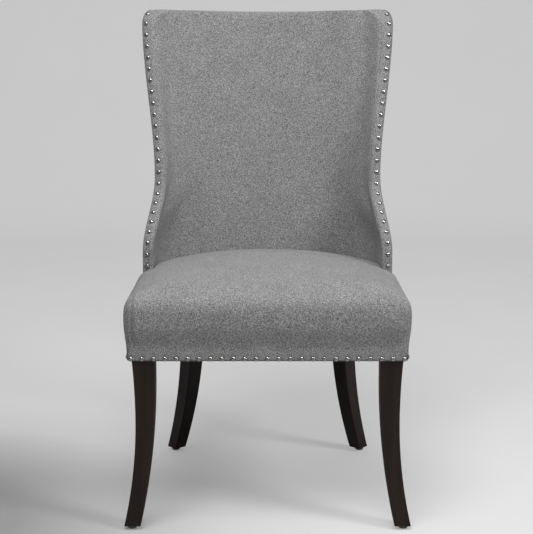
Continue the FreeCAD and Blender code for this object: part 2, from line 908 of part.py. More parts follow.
def both(shapes):
    return shapes + [mirrored(s) for s in shapes]


# Holes through the pieces
right_rail = right_rail.cut(dowel_holes + block_holes + side_holes + shell_holes)
front_rail = front_rail.cut(both(dowel_holes + block_holes) + front_holes)
rear_rail = rear_rail.cut(both(dowel_holes + block_holes + shell_holes))
front_leg = front_leg.cut(dowel_holes + front_holes + side_holes + pin_holes[:1])
rear_leg = rear_leg.cut(bolt_holes + pin_holes[1:])
front_block = front_block.cut(block_holes)
rear_brace = rear_brace.cut(block_holes + bolt_holes)
seat_cover = seat_strip.cut(seat_holes).fuse(seat_skin).removeSplitter()
back_shell = back_shell.cut(wing_holes + both(shell_holes))
right_band = [s for s in bands.Solids if s.CenterOfMass.x > 0][0].cut(right_holes)

nodes["front_rail"] = front_rail.Solids
nodes["rear_rail"] = rear_rail.Solids
nodes["right_rail"] = right_rail.Solids
nodes["left_rail"] = mirrored(right_rail).Solids
nodes["front_right_block"] = front_block.Solids
nodes["front_left_block"] = mirrored(front_block).Solids
nodes["rear_right_brace"] = rear_brace.Solids
nodes["rear_left_brace"] = mirrored(rear_brace).Solids
nodes["front_right_leg"] = front_leg.Solids
nodes["front_left_leg"] = mirrored(front_leg).Solids
nodes["rear_right_leg"] = rear_leg.Solids
nodes["rear_left_leg"] = mirrored(rear_leg).Solids
nodes["foot_glides"] = glides
nodes["glide_pins"] = pins
nodes["rail_dowels"] = both(dowels)
nodes["block_screws"] = both(block_screws)
nodes["leg_bolts"] = both(bolts)
nodes["leg_washers"] = both(washers)
nodes["leg_nuts"] = both(nuts)
nodes["shell_screws"] = both(shell_screws)
nodes["long_webbing"] = long_straps
nodes["cross_webbing"] = cross_straps
nodes["seat_foam"] = seat_foam.Solids
nodes["seat_wadding"] = seat_wadding.Solids
nodes["seat_cover"] = seat_cover.Solids
nodes["back_shell"] = back_shell.Solids
nodes["back_foam"] = back_foam.Solids
nodes["back_wadding"] = outer_pad.Solids
nodes["inside_back_cover"] = inside_cover.Solids
nodes["outside_back_cover"] = outside_cover.Solids
nodes["right_wing_band"] = right_band.Solids
nodes["left_wing_band"] = mirrored(right_band).Solids
nodes["seat_nails"] = seat_nails
nodes["right_wing_nails"] = right_nails
nodes["left_wing_nails"] = [mirrored(n) for n in right_nails]
nodes["dust_cover"] = dust_cover.Solids

# Stand the chair on the floor, centred on its outline
extent = FreeCAD.BoundBox()
for name in ("seat_cover", "outside_back_cover", "inside_back_cover", "foot_glides"):
    for solid in nodes[name]:
        extent.add(solid.optimalBoundingBox(False, False))
shift = V(-extent.Center.x, -extent.Center.y, -extent.ZMin)
for name, solids in nodes.items():
    shape = solids[0] if len(solids) == 1 else Part.makeCompound(solids)
    shape.translate(shift)
    shape.exportStep("parts/" + name + ".step")
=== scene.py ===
import math

import bpy
import numpy as np
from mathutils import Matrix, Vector, noise
from mathutils.bvhtree import BVHTree


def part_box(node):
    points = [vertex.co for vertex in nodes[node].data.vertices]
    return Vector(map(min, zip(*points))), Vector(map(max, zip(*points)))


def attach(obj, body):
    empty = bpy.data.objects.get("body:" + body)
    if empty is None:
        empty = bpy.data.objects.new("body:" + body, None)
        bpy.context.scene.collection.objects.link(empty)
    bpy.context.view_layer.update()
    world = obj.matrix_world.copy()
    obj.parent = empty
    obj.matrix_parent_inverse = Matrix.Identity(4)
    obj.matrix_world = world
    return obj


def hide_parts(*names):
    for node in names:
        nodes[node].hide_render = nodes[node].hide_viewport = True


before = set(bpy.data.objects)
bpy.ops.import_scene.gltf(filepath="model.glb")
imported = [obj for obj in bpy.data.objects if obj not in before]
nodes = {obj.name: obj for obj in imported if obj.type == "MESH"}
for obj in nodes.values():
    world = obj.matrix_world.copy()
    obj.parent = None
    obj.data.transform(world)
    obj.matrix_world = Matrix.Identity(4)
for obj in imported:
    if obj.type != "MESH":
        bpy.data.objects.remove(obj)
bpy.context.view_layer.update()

front_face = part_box("front_rail")[0][1]

# Sizes in millimetres and degrees, measured from the front rail's face and the floor
seat_bottom = 338.0
frame_half = 266.0
frame_depth = 522.0
frame_taper = 0.9
skin_gap = 1.9
nail_strip = 15.0
crown_height = 495.0
shoulder_height = 412.0
shoulder_half = 274.0
seat_bulge = 9.0
crown_power = 2.6
crown_middle = 250.0
front_corner = 8.0
shoulder_corner = 24.0
rear_corner = 160.0
crown_round = 0.92
rear_draw = 2.2
seam_height = 352.0
pleat_x = 257.0

top_height = 996.0
top_dip = 6.0
back_thick = 60.0
wing_thick = 22.0
back_rake = 8.5
back_bend = 160.0
wing_front = 307.0
wing_rake = 13.0
flare_height = 495.0
waist_height = 640.0
waist_setback = 100.0
waist_half = 243.0
crest_half = 276.0
crest_height = 985.0
crest_radius = 45.0
crest_heading = 68.0
edge_turn = 16.0
low_sweep = 2.5
crest_sweep = 20.0
low_corner = 42.0
high_corner = 72.0
low_inner_corner = 98.0
high_inner_corner = 100.0
form_start = 412.2
rear_low = 535.9
low_half = 263.1

nail_radius = 4.5
nail_dome = 2.8
nail_lift = 0.5

# Softness of the back: roll beside the wing seam, cushion, filled inside corner and one crease
roll_width = 44.0
roll_rise = 3.6
roll_start = 470.0
roll_fade = 90.0
seam_depth = 6.0
seam_width = 5.0
outer_seam_width = 8.0
cushion_rise = 2.4
cushion_run = 110.0
corner_fill = 5.0
corner_place = 80.0
corner_run = 36.0
turn_over = 9.0
cap_crown = 2.2
cap_fade = 0.35
crease_x = -214.0
crease_top = 700.0
crease_slope = 0.5
crease_height = 665.0
crease_run = 34.0
crease_depth = 1.1
crease_ridge = 0.7

# Softness of the wing edges and their tucked flap
band_round = 2.6
band_puff = 0.9
pinch_radius = 8.0
tuck_back = 5.0
tuck_side = 1.5
flap_ahead = 21.0
flap_behind = 13.0
flap_gap = 0.9

# Softness of the seat: where its cover is held, corner pleats and the pull of the nails
hold_run = 60.0
wing_hold_x = 200.0
wing_hold_gap = 6.0
wing_hold_run = 24.0
rear_hold = 500.0
pleat_reach = 40.0
nail_reach = 375.0
pleat_low = 360.0
pleat_high = 474.0
pleat_depth = 2.4
pleat_ridge = 0.9
nail_pull = 1.1
nail_swell = 0.5

# Webbing and dust cover
strap_half = 25.0
strap_sag = 3.0
strap_pitch = 90.0
long_level = 407.4
cross_level = 409.6
cover_front = 256.0
cover_rear = 247.8
cover_margin = 10.0
cover_sag = 4.0

# Paper sweep and the seat's mesh, in metres
voxel = 0.006
floor_front = -7.0
sweep_start = 3.2
sweep_radius = 1.4
wall_top = 6.0
floor_half = 6.0


def blend(a, b, u):
    return a + (b - a) * u


def ease(u):
    u = min(1.0, max(0.0, u))
    return u * u * (3.0 - 2.0 * u)


def spread(low, high, steps):
    return [low + (high - low) * i / steps for i in range(steps + 1)]


def place(x, y, z):
    """Point in the shared frame, in metres."""
    return Vector((x / 1000, y / 1000 + front_face, z / 1000))


def ripple(point, size, seed):
    """Smooth irregularity between -1 and 1 over a length in millimetres."""
    return noise.noise(Vector(point) / size + Vector((seed, 2 * seed, 3 * seed)))


def rail_x(y):
    """Outer face of the side rail."""
    return frame_half - y * math.tan(math.radians(frame_taper))


def bell(distance, width):
    return math.exp(-(distance / width) ** 2)


# Meshes
def add_mesh(name, points, faces, material):
    mesh = bpy.data.meshes.new(name)
    mesh.from_pydata(points, [], faces)
    mesh.validate()
    mesh.update()
    mesh.polygons.foreach_set("use_smooth", [True] * len(mesh.polygons))
    piece = bpy.data.objects.new(name, mesh)
    bpy.context.scene.collection.objects.link(piece)
    mesh.materials.append(material)
    return piece


def grid_faces(rows, columns, ring, start=0):
    faces = []
    last = columns if ring else columns - 1
    for r in range(rows - 1):
        for c in range(last):
            a = start + r * columns + c
            b = start + r * columns + (c + 1) % columns
            faces.append((a, b, b + columns, a + columns))
    return faces


def grid_piece(name, rows, material, ring=False):
    points = [p for row in rows for p in row]
    return add_mesh(name, points, grid_faces(len(rows), len(rows[0]), ring), material)


def apply_modifiers(piece):
    """Bake what the modifiers show into the piece's own mesh."""
    graph = bpy.context.evaluated_depsgraph_get()
    mesh = bpy.data.meshes.new_from_object(piece.evaluated_get(graph))
    piece.modifiers.clear()
    piece.data = mesh
    mesh.polygons.foreach_set("use_smooth", [True] * len(mesh.polygons))


# Materials
def new_material(name, roughness):
    material = bpy.data.materials.new(name)
    material.use_nodes = True
    shader = material.node_tree.nodes["Principled BSDF"]
    shader.inputs["Roughness"].default_value = roughness
    return material, material.node_tree, shader


def texture(tree, kind, scale, stretch=(1, 1, 1), **inputs):
    """Texture in the object's own metres, stretched by a scale for each axis."""
    coords = tree.nodes.new("ShaderNodeTexCoord")
    mapping = tree.nodes.new("ShaderNodeMapping")
    mapping.inputs["Scale"].default_value = stretch
    node = tree.nodes.new("ShaderNodeTex" + kind)
    node.inputs["Scale"].default_value = scale
    for key, value in inputs.items():
        node.inputs[key.replace("_", " ")].default_value = value
    tree.links.new(coords.outputs["Object"], mapping.inputs["Vector"])
    tree.links.new(mapping.outputs["Vector"], node.inputs["Vector"])
    return node


def ramp(tree, source, stops):
    node = tree.nodes.new("ShaderNodeValToRGB")
    elements = node.color_ramp.elements
    while len(elements) < len(stops):
        elements.new(0.5)
    for element, (position, colour) in zip(elements, stops):
        element.position = position
        element.color = (*colour, 1.0)
    tree.links.new(source, node.inputs["Fac"])
    return node.outputs["Color"]


def mixed(tree, kind, amount, first, second):
    node = tree.nodes.new("ShaderNodeMix")
    node.data_type = "RGBA"
    node.blend_type = kind
    node.inputs["Factor"].default_value = amount
    tree.links.new(first, node.inputs["A"])
    tree.links.new(second, node.inputs["B"])
    return node.outputs["Result"]


def bumped(tree, shader, height, strength, distance):
    node = tree.nodes.new("ShaderNodeBump")
    node.inputs["Strength"].default_value = strength
    node.inputs["Distance"].default_value = distance
    tree.links.new(height, node.inputs["Height"])
    tree.links.new(node.outputs["Normal"], shader.inputs["Normal"])


def grey(value, warm=0.0):
    return (value * (1 + warm), value, value * (1 - warm))


def tweed(name, dark, light):
    """Felted wool: salt and pepper grain, stray fibres and slow mottling."""
    material, tree, shader = new_material(name, 0.93)
    grain = texture(tree, "Noise", 540, Detail=5.0, Roughness=0.8)
    across = texture(tree, "Noise", 260, (5, 5, 1), Detail=3.0, Roughness=0.6)
    along = texture(tree, "Noise", 260, (1, 1, 6), Detail=3.0, Roughness=0.6)
    mottle = texture(tree, "Noise", 22, Detail=4.0, Roughness=0.6)
    stops = [(0.38, grey(dark)), (0.5, grey((dark + light) / 2)), (0.62, grey(light))]
    speckle = ramp(tree, grain.outputs["Fac"], stops)
    threads = [(0.3, grey(0.31)), (0.7, grey(0.71))]
    weft = ramp(tree, across.outputs["Fac"], threads)
    warp = ramp(tree, along.outputs["Fac"], threads)
    slow = ramp(tree, mottle.outputs["Fac"], [(0.25, grey(0.42)), (0.75, grey(0.58))])
    colour = mixed(tree, "OVERLAY", 0.45, speckle, weft)
    colour = mixed(tree, "OVERLAY", 0.45, colour, warp)
    colour = mixed(tree, "OVERLAY", 0.5, colour, slow)
    tree.links.new(colour, shader.inputs["Base Color"])
    shader.inputs["Specular IOR Level"].default_value = 0.15
    shader.inputs["Sheen Weight"].default_value = 0.12
    shader.inputs["Sheen Roughness"].default_value = 0.6
    bumped(tree, shader, grain.outputs["Fac"], 0.45, 0.0009)
    return material


def timber(name, dark, light, roughness, coat, grain_axis):
    """Stained wood with long grain, fine pores and a little wear in its sheen."""
    material, tree, shader = new_material(name, roughness)
    stretch = [9.0, 9.0, 9.0]
    stretch[grain_axis] = 0.7
    fine = [1.0, 1.0, 1.0]
    fine[grain_axis] = 0.03
    figure = texture(tree, "Noise", 6, stretch, Detail=5.0, Roughness=0.6, Distortion=0.6)
    pores = texture(tree, "Noise", 900, fine, Detail=3.0, Roughness=0.6)
    smudge = texture(tree, "Noise", 18, Detail=3.0)
    wood = ramp(tree, figure.outputs["Fac"], [(0.3, dark), (0.7, light)])
    pore = ramp(tree, pores.outputs["Fac"], [(0.35, grey(0.5)), (0.6, grey(1.0))])
    tree.links.new(mixed(tree, "MULTIPLY", 0.55, wood, pore), shader.inputs["Base Color"])
    worn = [(0.3, grey(roughness * 0.8)), (0.7, grey(roughness * 1.2))]
    tree.links.new(ramp(tree, smudge.outputs["Fac"], worn), shader.inputs["Roughness"])
    shader.inputs["Specular IOR Level"].default_value = 0.32
    shader.inputs["Coat Weight"].default_value = coat
    shader.inputs["Coat Roughness"].default_value = 0.25
    bumped(tree, shader, pores.outputs["Fac"], 0.12, 0.0004)
    return material


def metal(name, dark, light, roughness):
    material, tree, shader = new_material(name, roughness)
    tone = texture(tree, "Noise", 240, Detail=4.0, Roughness=0.6)
    scuff = texture(tree, "Noise", 1500, (1, 1, 0.2), Detail=2.0)
    colour = ramp(tree, tone.outputs["Fac"], [(0.3, dark), (0.7, light)])
    tree.links.new(colour, shader.inputs["Base Color"])
    worn = [(0.3, grey(roughness * 0.7)), (0.7, grey(roughness * 1.4))]
    tree.links.new(ramp(tree, scuff.outputs["Fac"], worn), shader.inputs["Roughness"])
    shader.inputs["Metallic"].default_value = 1.0
    bumped(tree, shader, scuff.outputs["Fac"], 0.05, 0.0002)
    return material


def plain_stuff(name, dark, light, roughness, scale, bump, stretch=(1, 1, 1)):
    """Moulded plastic, foam, tape and nonwoven cloth, by the size and depth of their grain."""
    material, tree, shader = new_material(name, roughness)
    grain = texture(tree, "Noise", scale, stretch, Detail=4.0, Roughness=0.65)
    blotch = texture(tree, "Noise", 30, Detail=3.0)
    colour = ramp(tree, grain.outputs["Fac"], [(0.3, dark), (0.7, light)])
    shade = ramp(tree, blotch.outputs["Fac"], [(0.3, grey(0.8)), (0.7, grey(1.0))])
    tree.links.new(mixed(tree, "MULTIPLY", 0.7, colour, shade), shader.inputs["Base Color"])
    bumped(tree, shader, grain.outputs["Fac"], bump, 0.0005)
    return material


cloth = tweed("grey_tweed", 0.022, 0.37)
leg_wood = timber("espresso_wood", (0.0060, 0.0028, 0.0020), (0.021, 0.0095, 0.0062), 0.44, 0.04, 2)
rail_wood = timber("beech", (0.36, 0.21, 0.11), (0.52, 0.34, 0.19), 0.6, 0.0, 0)
side_wood = timber("beech_lengthwise", (0.36, 0.21, 0.11), (0.52, 0.34, 0.19), 0.6, 0.0, 1)
plywood = timber("birch_plywood", (0.50, 0.34, 0.20), (0.66, 0.49, 0.31), 0.65, 0.0, 2)
nickel = metal("nickel", (0.30, 0.29, 0.27), (0.44, 0.43, 0.41), 0.15)
steel = metal("zinc_steel", (0.42, 0.43, 0.44), (0.58, 0.58, 0.57), 0.38)
plastic = plain_stuff("grey_plastic", grey(0.16), grey(0.24), 0.5, 700, 0.08)
tape = plain_stuff("jute_webbing", (0.22, 0.15, 0.08), (0.42, 0.32, 0.2), 0.9, 900, 0.5, (1, 1, 4))
felt = plain_stuff("black_nonwoven", grey(0.008), grey(0.022), 0.95, 1200, 0.4)


# Plan curves of the back and wings
def edge_line(z):
    line = wing_front + waist_setback + (z - waist_height) * math.tan(math.radians(wing_rake))
    return blend(wing_front, line, ease((z - flare_height) / (waist_height - flare_height)))


lean = math.radians(wing_rake)
turn = math.tan(math.radians(edge_turn))
crest_run = crest_radius * math.tan((math.pi / 2 - lean) / 2)
crest_start = top_height - crest_run * math.cos(lean)
crest_centre = (edge_line(top_height) + crest_run, top_height - crest_radius)


def edge_y(z):
    """Front edge of the wing, with its rounded top corner."""
    if z <= crest_start:
        return edge_line(z)
    rise = min(crest_radius, z - crest_centre[1])
    return crest_centre[0] - math.sqrt(crest_radius ** 2 - rise ** 2)


def rear_y(z):
    rise = max(0.0, z - form_start)
    run = rise * rise / (2 * back_bend) if rise < back_bend else rise - back_bend / 2
    return rear_low + run * math.tan(math.radians(back_rake))


def half_plan(z, edge_depth, middle_depth, corner):
    """Right half of a plan curve from the middle of the back to the wing's front edge."""
    flare = ease((z - flare_height) / (waist_height - flare_height))
    crest = ease((z - waist_height) / (crest_height - waist_height))
    form = ease((z - form_start) / (crest_height - form_start))
    half = blend(low_half, waist_half, flare) + (crest_half - waist_half) * crest
    head = math.radians(blend(90.0 - frame_taper, crest_heading, form))
    sweep = math.radians(blend(low_sweep, crest_sweep, form))
    end_x = half - edge_depth * math.sin(head)
    end_y = edge_line(z) - edge_depth * math.cos(head)
    top = rear_y(z) - middle_depth
    across = end_x - corner * (math.sin(head) - math.sin(sweep))
    along = top - end_y - corner * (math.cos(sweep) - math.cos(head))
    sag = 1 - math.cos(sweep)
    scale = math.sin(sweep) * math.sin(head) - math.cos(head) * sag
    radius = (across * math.sin(head) - math.cos(head) * along) / scale
    run = (math.sin(sweep) * along - sag * across) / scale + 40.0
    path = [(radius * math.sin(a), top - radius * (1 - math.cos(a))) for a in spread(0, sweep, 60)]
    centre = (path[-1][0] - corner * math.sin(sweep), path[-1][1] - corner * math.cos(sweep))
    for a in spread(sweep, head, 40)[1:]:
        path.append((centre[0] + corner * math.sin(a), centre[1] + corner * math.cos(a)))
    root = path[-1]
    for s in spread(0, run, 60)[1:]:
        path.append((root[0] + s * math.cos(head), root[1] - s * math.sin(head)))
    return path


def outside_path(z, depth=0.0):
    corner_form = ease((z - form_start) / (waist_height - form_start))
    return half_plan(z, depth, depth, blend(low_corner, high_corner, corner_form) - depth)


def inside_path(z, depth=0.0):
    corner_form = ease((z - form_start) / (waist_height - form_start))
    corner = blend(low_inner_corner, high_inner_corner, corner_form) + depth
    return half_plan(z, wing_thick - depth, back_thick - depth, corner)


def trimmed(path, z, count):
    """The path cut at the wing's edge face and divided evenly."""
    kept = [path[0]]
    for a, b in zip(path, path[1:]):
        miss_a = a[1] - edge_y(z) - (a[0] - waist_half) * turn
        miss_b = b[1] - edge_y(z) - (b[0] - waist_half) * turn
        if miss_b <= 0:
            share = miss_a / (miss_a - miss_b)
            kept.append((blend(a[0], b[0], share), blend(a[1], b[1], share)))
            break
        kept.append(b)
    points = np.array(kept)
    steps = np.concatenate([[0], np.cumsum(np.hypot(*np.diff(points, axis=0).T))])
    goal = np.linspace(0, steps[-1], count + 1)
    return np.column_stack([np.interp(goal, steps, points[:, i]) for i in (0, 1)]), steps[-1]


def heights(low):
    """Levels up the back: even, then closer round the top corner of the wing."""
    straight = spread(low, crest_start, 110)
    bend = [crest_centre[1] + crest_radius * math.sin(a) for a in spread(lean, math.pi / 2, 16)[1:]]
    return straight + bend


def dipped(out, z):
    """Height lowered towards the middle of the top; out is the share of the way to the wing edge."""
    share = ease((z - waist_height) / (top_height - waist_height)) ** 2
    return z - top_dip * share * (1 - out ** 2)


half_count = 74


def plan_row(z, rule, shape):
    """Full row of points across the back; shape gives the shift along the inward normal."""
    path, length = trimmed(rule(z), z, half_count)
    ahead = np.gradient(path, axis=0)
    ahead /= np.linalg.norm(ahead, axis=1)[:, None]
    sides = []
    for side in (-1, 1):
        row = []
        for i, (x, y) in enumerate(path):
            from_edge = length * (1 - i / half_count)
            shift = shape(side * x, z, from_edge, side)
            px = side * (x + ahead[i][1] * shift)
            py = y - ahead[i][0] * shift
            row.append((px, py, dipped(i / half_count, z)))
        sides.append(row)
    return sides[0][:0:-1] + sides[1]


def inside_shape(x, z, from_edge, side):
    """Padded roll beside the seam, running out into the cushioned back."""
    fade = ease((z - roll_start) / roll_fade)
    seam = -seam_depth * max(0.0, 1 - from_edge / seam_width) ** 2
    from_wing = from_edge + (edge_y(z) - edge_line(z)) / math.sin(math.radians(crest_heading))
    share = min(1.0, from_wing / roll_width)
    roll = roll_rise * fade * 4.6 * share ** 0.8 * (1 - share) ** 1.6
    cushion = cushion_rise * ease((from_wing - roll_width) / cushion_run)
    cushion += corner_fill * fade * bell(from_wing - corner_place, corner_run)
    top = -1.0 * max(0.0, 1 - (top_height - z) / turn_over) ** 2
    slack = 0.5 * ripple((x, 0, z), 70, 3) + 0.25 * ripple((x, 0, z), 26, 5)
    crease = 0.0
    if side < 0:
        away = x - crease_x - (crease_top - z) * crease_slope
        fold = crease_ridge * bell(away - 10, 7) - crease_depth * bell(away, 5)
        crease = fold * bell(z - crease_height, crease_run)
    return seam + roll + cushion + top + slack + crease


def outside_shape(x, z, from_edge, side):
    """Close cover over thin wadding, drawn in at its seams."""
    seam = 0.6 * seam_depth * max(0.0, 1 - from_edge / outer_seam_width) ** 2
    top = 1.5 * max(0.0, 1 - (top_height - z) / turn_over) ** 2
    hem = 1.2 * max(0.0, 1 - (z - seat_bottom) / 7) ** 2
    slack = 0.35 * ripple((x, 40, z), 80, 7) + 0.15 * ripple((x, 40, z), 24, 9)
    return seam + top + hem + max(-0.4, slack)


def in_frame(rows):
    return [[place(*p) for p in row] for row in rows]


# Inside back, rolled over the top
inside_levels = heights(418.0)
inside_rows = [plan_row(z, inside_path, inside_shape) for z in inside_levels]
outside_levels = heights(seat_bottom)
outside_rows = [plan_row(z, outside_path, outside_shape) for z in outside_levels]
cap_rows = []
for share in spread(0, 1, 14)[1:]:
    row = []
    for i, (a, b) in enumerate(zip(inside_rows[-1], outside_rows[-1])):
        from_end = 1 - abs(i / half_count - 1)
        crown = cap_crown * ease(from_end / cap_fade) * (1 - abs(2 * share - 1) ** 3)
        x, y, z = (blend(a[k], b[k], share) for k in range(3))
        row.append((x, y, z + crown))
    cap_rows.append(row)
tuck = [(x * 0.98, y + 9, z) for x, y, z in inside_rows[0]]
inside_back = grid_piece("inside_back", in_frame([tuck] + inside_rows + cap_rows), cloth)

# Outside back, its hem turned under the seat
hem_rows = []
for depth in (26.0, 9.0, 2.0):
    row = plan_row(seat_bottom, lambda z: outside_path(z, depth), lambda x, z, e, s: 0.0)
    hem_rows.append([(x, y, z + (1.2 if depth > 2 else 0.2)) for x, y, z in row])
outside_back = grid_piece("outside_back", in_frame(hem_rows + outside_rows), cloth)


# Nail places from the nails of the frame
def nail_places(node):
    """Middle of each dome's rim and the way it faces."""
    mesh = node.data
    world = node.matrix_world
    points = np.array([world @ v.co for v in mesh.vertices])
    group = list(range(len(points)))

    def find(i):
        while group[i] != i:
            group[i] = group[group[i]]
            i = group[i]
        return i

    seen = {}
    for i, p in enumerate(points):
        key = tuple(np.round(p, 6))
        group[find(i)] = find(seen.setdefault(key, i))
    for edge in mesh.edges:
        group[find(edge.vertices[0])] = find(edge.vertices[1])
    islands = {}
    for i in range(len(points)):
        islands.setdefault(find(i), []).append(i)
    places = []
    for island in islands.values():
        own = points[island]
        centre = own.mean(axis=0)
        tip = own[np.argmax(np.linalg.norm(own - centre, axis=1))]
        crown = own[np.argmax(np.linalg.norm(own - tip, axis=1))]
        axis = (crown - tip) / np.linalg.norm(crown - tip)
        places.append((Vector(crown - axis * nail_dome / 1000), Vector(axis)))
    return places


seat_nail_places = nail_places(nodes["seat_nails"])
right_nail_places = nail_places(nodes["right_wing_nails"])
left_nail_places = nail_places(nodes["left_wing_nails"])


def nail_piece(name, places):
    """Domes with a rolled rim, each a little different in seat and turn."""
    profile = [(0.86, -0.06), (1.0, 0.0), (1.02, 0.12), (0.97, 0.34), (0.88, 0.56), (0.72, 0.78)]
    profile += [(0.5, 0.93), (0.25, 0.99)]
    segments = 28
    points = []
    faces = []
    for k, (base, axis) in enumerate(places):
        tilt = Vector((ripple((k, 1, 0), 0.7, 1), ripple((k, 2, 0), 0.7, 2), ripple((k, 3, 0), 0.7, 3)))
        facing = (axis + 0.05 * tilt).normalized()
        base = base + axis * (nail_lift / 1000)
        side = facing.orthogonal().normalized()
        other = facing.cross(side)
        start = len(points)
        for r, h in profile:
            for i in range(segments):
                angle = 2 * math.pi * i / segments
                out = side * math.cos(angle) + other * math.sin(angle)
                points.append(base + out * (r * nail_radius / 1000) + facing * (h * nail_dome / 1000))
        faces += grid_faces(len(profile), segments, True, start)
        points.append(base + facing * (nail_dome / 1000))
        last = start + (len(profile) - 1) * segments
        for i in range(segments):
            faces.append((last + i, last + (i + 1) % segments, len(points) - 1))
    return add_mesh(name, points, faces, nickel)


seat_domes = nail_piece("seat_nail_heads", seat_nail_places)
right_domes = nail_piece("right_wing_nail_heads", right_nail_places)
left_domes = nail_piece("left_wing_nail_heads", left_nail_places)


# Boxed wing edges, pinched by each nail, with a flap tucked behind the end of the seat cover
def wing_band(name, side, places):
    levels = spread(seat_bottom, crest_start, 220)
    levels += [crest_centre[1] + crest_radius * math.sin(a) for a in spread(lean, math.pi / 2, 30)[1:]]
    ends = []
    for z in levels:
        inner = trimmed(inside_path(z), z, half_count)[0][-1]
        outer = trimmed(outside_path(z), z, half_count)[0][-1]
        ends.append((np.array([*inner, z]), np.array([*outer, z])))
    middles = np.array([(a + b) / 2 for a, b in ends])
    along = np.gradient(middles, axis=0)
    spots = np.array([[p.x * 1000 * side, (p.y - front_face) * 1000, p.z * 1000] for p, _ in places])
    rows = []
    for (inner, outer), way in zip(ends, along):
        across = (outer - inner) / np.linalg.norm(outer - inner)
        facing = np.cross(way, across)
        facing = facing / np.linalg.norm(facing)
        if facing[2] < facing[1]:
            facing = -facing
        row = []
        for share in spread(0, 1, 16):
            point = inner + (outer - inner) * share
            near = np.min(np.linalg.norm(spots - point, axis=1))
            round_off = -band_round * abs(2 * share - 1) ** 4
            puff = band_puff * (1 - bell(near, pinch_radius)) * (1 - abs(2 * share - 1) ** 2)
            puff += 0.25 * ripple((point[0], point[1], point[2]), 22, 11 + side)
            point = point + facing * (round_off + puff)
            row.append((side * point[0], point[1], point[2]))
        inner_tuck = (side * (abs(row[0][0]) + tuck_side), row[0][1] + tuck_back, row[0][2])
        outer_tuck = (side * (abs(row[-1][0]) - tuck_side), row[-1][1] + tuck_back, row[-1][2])
        rows.append([inner_tuck] + row + [outer_tuck])
    crest_end = rows[-1]
    for back, drop in ((3, 0.4), (7, 1.2), (14, 5.0)):
        rows.append([(x, y + back, z - drop) for x, y, z in crest_end])
    flap = []
    for z in spread(seat_bottom + 0.8, form_start, 14):
        run = spread(wing_front - flap_ahead, wing_front + flap_behind, 6)
        flap.append([(side * (rail_x(y) + flap_gap), y, z) for y in run])
    points = []
    faces = []
    for part in (rows, flap):
        faces += grid_faces(len(part), len(part[0]), False, len(points))
        points += [p for row in in_frame(part) for p in row]
    return add_mesh(name, points, faces, cloth)


right_band = wing_band("right_wing_edge", 1, right_nail_places)
left_band = wing_band("left_wing_edge", -1, left_nail_places)


# Seat: crowned pad, filled out as cloth under pressure
def rounded_ring(points, radii):
    """Outline with tangent corner arcs, the same number of points at every level."""
    arcs = []
    for i, corner in enumerate(points):
        here = np.array(corner, float)
        back = np.array(points[i - 1]) - here
        ahead = np.array(points[(i + 1) % len(points)]) - here
        back /= np.linalg.norm(back)
        ahead /= np.linalg.norm(ahead)
        half = math.acos(float(back @ ahead)) / 2
        cut = radii[i] / math.tan(half)
        middle = here + (back + ahead) / np.linalg.norm(back + ahead) * radii[i] / math.sin(half)
        first = here + back * cut - middle
        last = here + ahead * cut - middle
        total = math.pi - 2 * half
        arc = []
        for s in spread(0, 1, 14):
            swing = math.sin((1 - s) * total) * first + math.sin(s * total) * last
            arc.append(middle + swing / math.sin(total))
        arcs.append(arc)
    ring = []
    for i, arc in enumerate(arcs):
        ring += arc
        start, end = arc[-1], arcs[(i + 1) % len(arcs)][0]
        ring += [start + (end - start) * s for s in spread(0, 1, 44)[1:-1]]
    return ring


def seat_ring(z, scale):
    grow = ease((z - seat_bottom - nail_strip) / (shoulder_height - seat_bottom - nail_strip))
    depth = (crown_middle + skin_gap + seat_bulge * grow) * scale
    front_half = blend(rail_x(0) + skin_gap, shoulder_half, grow) * scale
    rear_half = blend(rail_x(2 * crown_middle) + skin_gap, shoulder_half, grow) * scale
    rear_half = rear_half / (1 + rear_draw * (1 - scale))
    front_round = blend(front_corner, shoulder_corner, grow) * scale
    rear_round = blend(front_corner, rear_corner, grow) * scale
    drawn = 1 - scale ** 2
    front_round = blend(front_round, crown_round * min(front_half, depth), drawn ** 2)
    rear_round = blend(rear_round, crown_round * min(rear_half, depth), drawn ** 0.5)
    front = crown_middle - depth
    rear = crown_middle + depth
    points = [(-front_half, front), (front_half, front), (rear_half, rear), (-rear_half, rear)]
    return rounded_ring(points, [front_round, front_round, rear_round, rear_round])


def behind_wing(x, y):
    return y > wing_front - 1 + (abs(x) - waist_half) * turn


def fitted(ring, z):
    """Ring narrowed where it passes between the wings and against the back."""
    path = np.array(inside_path(max(z, form_start), -1.5))
    order = np.argsort(path[:, 1])
    rows = []
    for x, y in ring:
        if behind_wing(x, y):
            y = min(y, path[0][1])
            limit = float(np.interp(y, path[order, 1], path[order, 0]))
            x = math.copysign(min(abs(x), limit), x)
        rows.append((x, y, z))
    return rows


def crown_share(rise):
    edge = (1 - rise ** 6) ** (1 / 6)
    arch = (1 - rise ** 2) ** 0.5
    return blend(edge, arch, rise ** crown_power)


seat_rows = [fitted(seat_ring(z, 1.0), z) for z in spread(seat_bottom + 0.6, shoulder_height, 12)]
rise = crown_height - shoulder_height
for k in range(1, 46):
    share = math.sin(math.pi / 2 * k / 46)
    level = shoulder_height + share * rise
    seat_rows.append(fitted(seat_ring(level, crown_share(share)), level))
seat = grid_piece("seat", in_frame(seat_rows), cloth, ring=True)
count = len(seat_rows[0])
mesh = seat.data
faces = [tuple(p.vertices) for p in mesh.polygons]
points = [v.co.copy() for v in mesh.vertices]
faces.append(tuple(range(count))[::-1])
points.append(place(0, crown_middle, crown_height))
last = (len(seat_rows) - 1) * count
for i in range(count):
    faces.append((last + i, last + (i + 1) % count, len(points) - 1))
bpy.data.objects.remove(seat)
seat = add_mesh("seat", points, faces, cloth)

